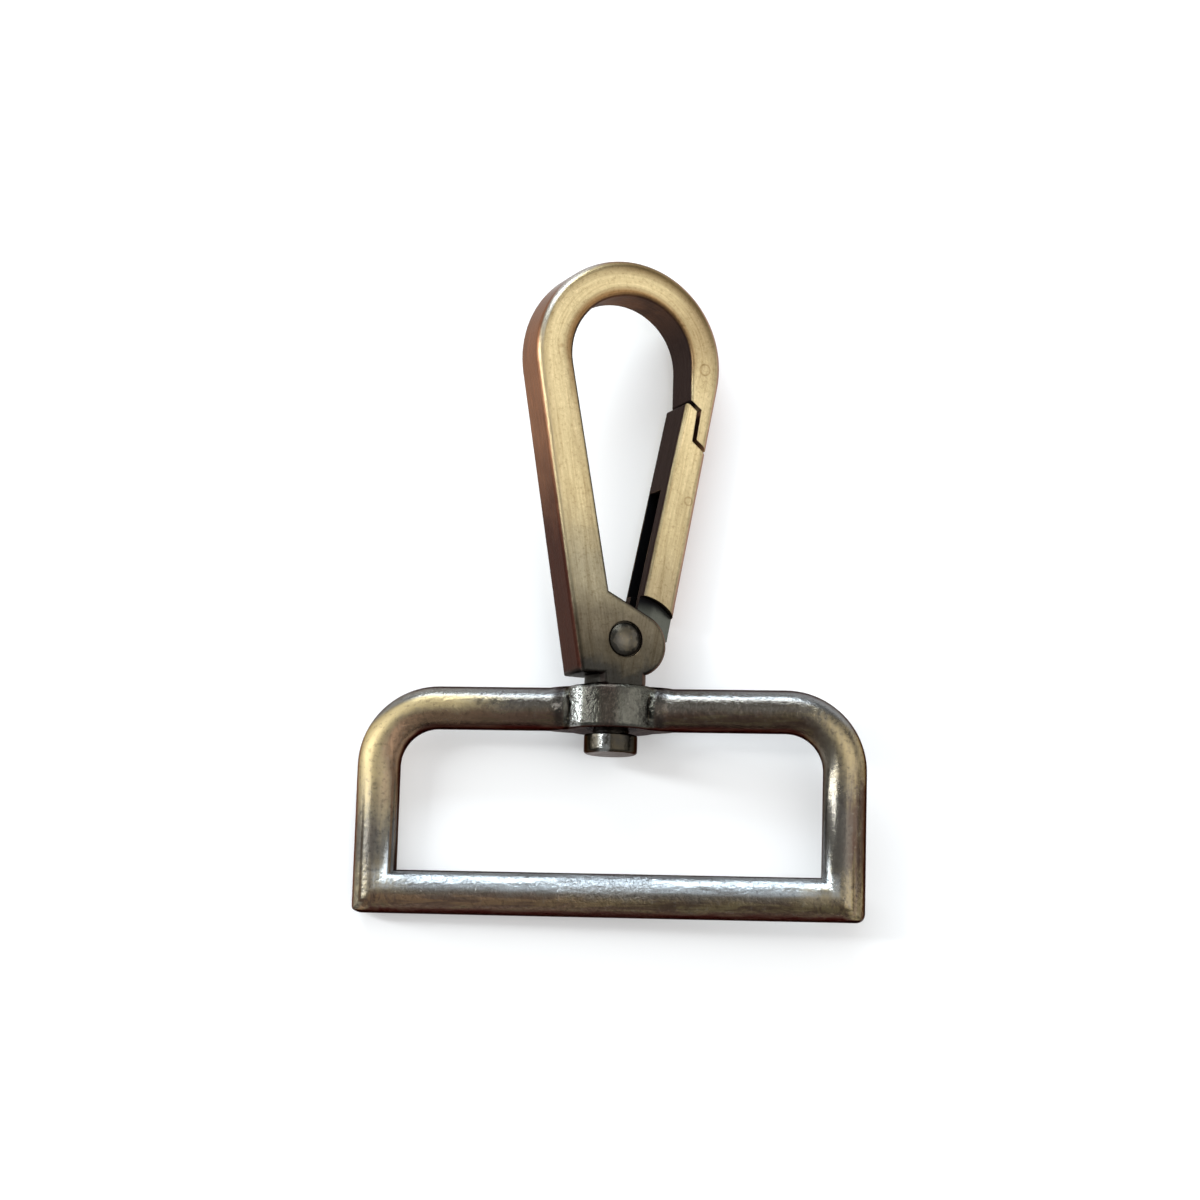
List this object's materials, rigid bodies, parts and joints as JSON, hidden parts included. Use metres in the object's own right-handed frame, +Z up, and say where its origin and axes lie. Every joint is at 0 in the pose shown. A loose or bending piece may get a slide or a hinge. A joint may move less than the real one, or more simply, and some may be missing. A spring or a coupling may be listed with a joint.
{
  "type": "swivel snap hook",
  "caption": "Antique brass snap hook with a spring gate, swivelling on a rectangular strap ring of round bar.",
  "frame": {"origin": "middle of the bounding box in X and Y, on the table in Z", "axes": "the part lies at rest; +Y from the strap ring to the tip of the hook, +X to the gate's side, +Z up from the table"},
  "size_m": [0.0458, 0.0598, 0.0121],
  "materials": {
    "ring_metal": "dark antique plating, polished along the top of the bars",
    "stud_metal": "dark antique plating",
    "hook_metal": "antique brass, brushed lengthwise on the faces, dark brown on the sides",
    "spring_steel": "drawn wire"
  },
  "bodies": {
    "ring": {"strap_ring": "ring_metal"},
    "hook": {"hook_body": "hook_metal", "swivel_stud": "stud_metal", "gate_rivet": "stud_metal"},
    "gate_part": {"gate": "hook_metal", "gate_spring": "spring_steel"}
  },
  "joints": [
    {"name": "swivel", "type": "hinge", "parent": "ring", "child": "hook", "pos_m": [0, -0.01129, 0.00391], "axis": [0, 0.9978, 0.0664], "continuous": true},
    {"name": "gate_pivot", "type": "hinge", "parent": "hook", "child": "gate_part", "pos_m": [0.00021, -0.0051, 0.00421], "axis": [0.4772, -0.0583, 0.8769], "range_deg": [0, 20], "stiffness_Nm_per_rad": 0.04, "springref_deg": -45.84, "deforming": ["gate_spring"]}
  ]
}
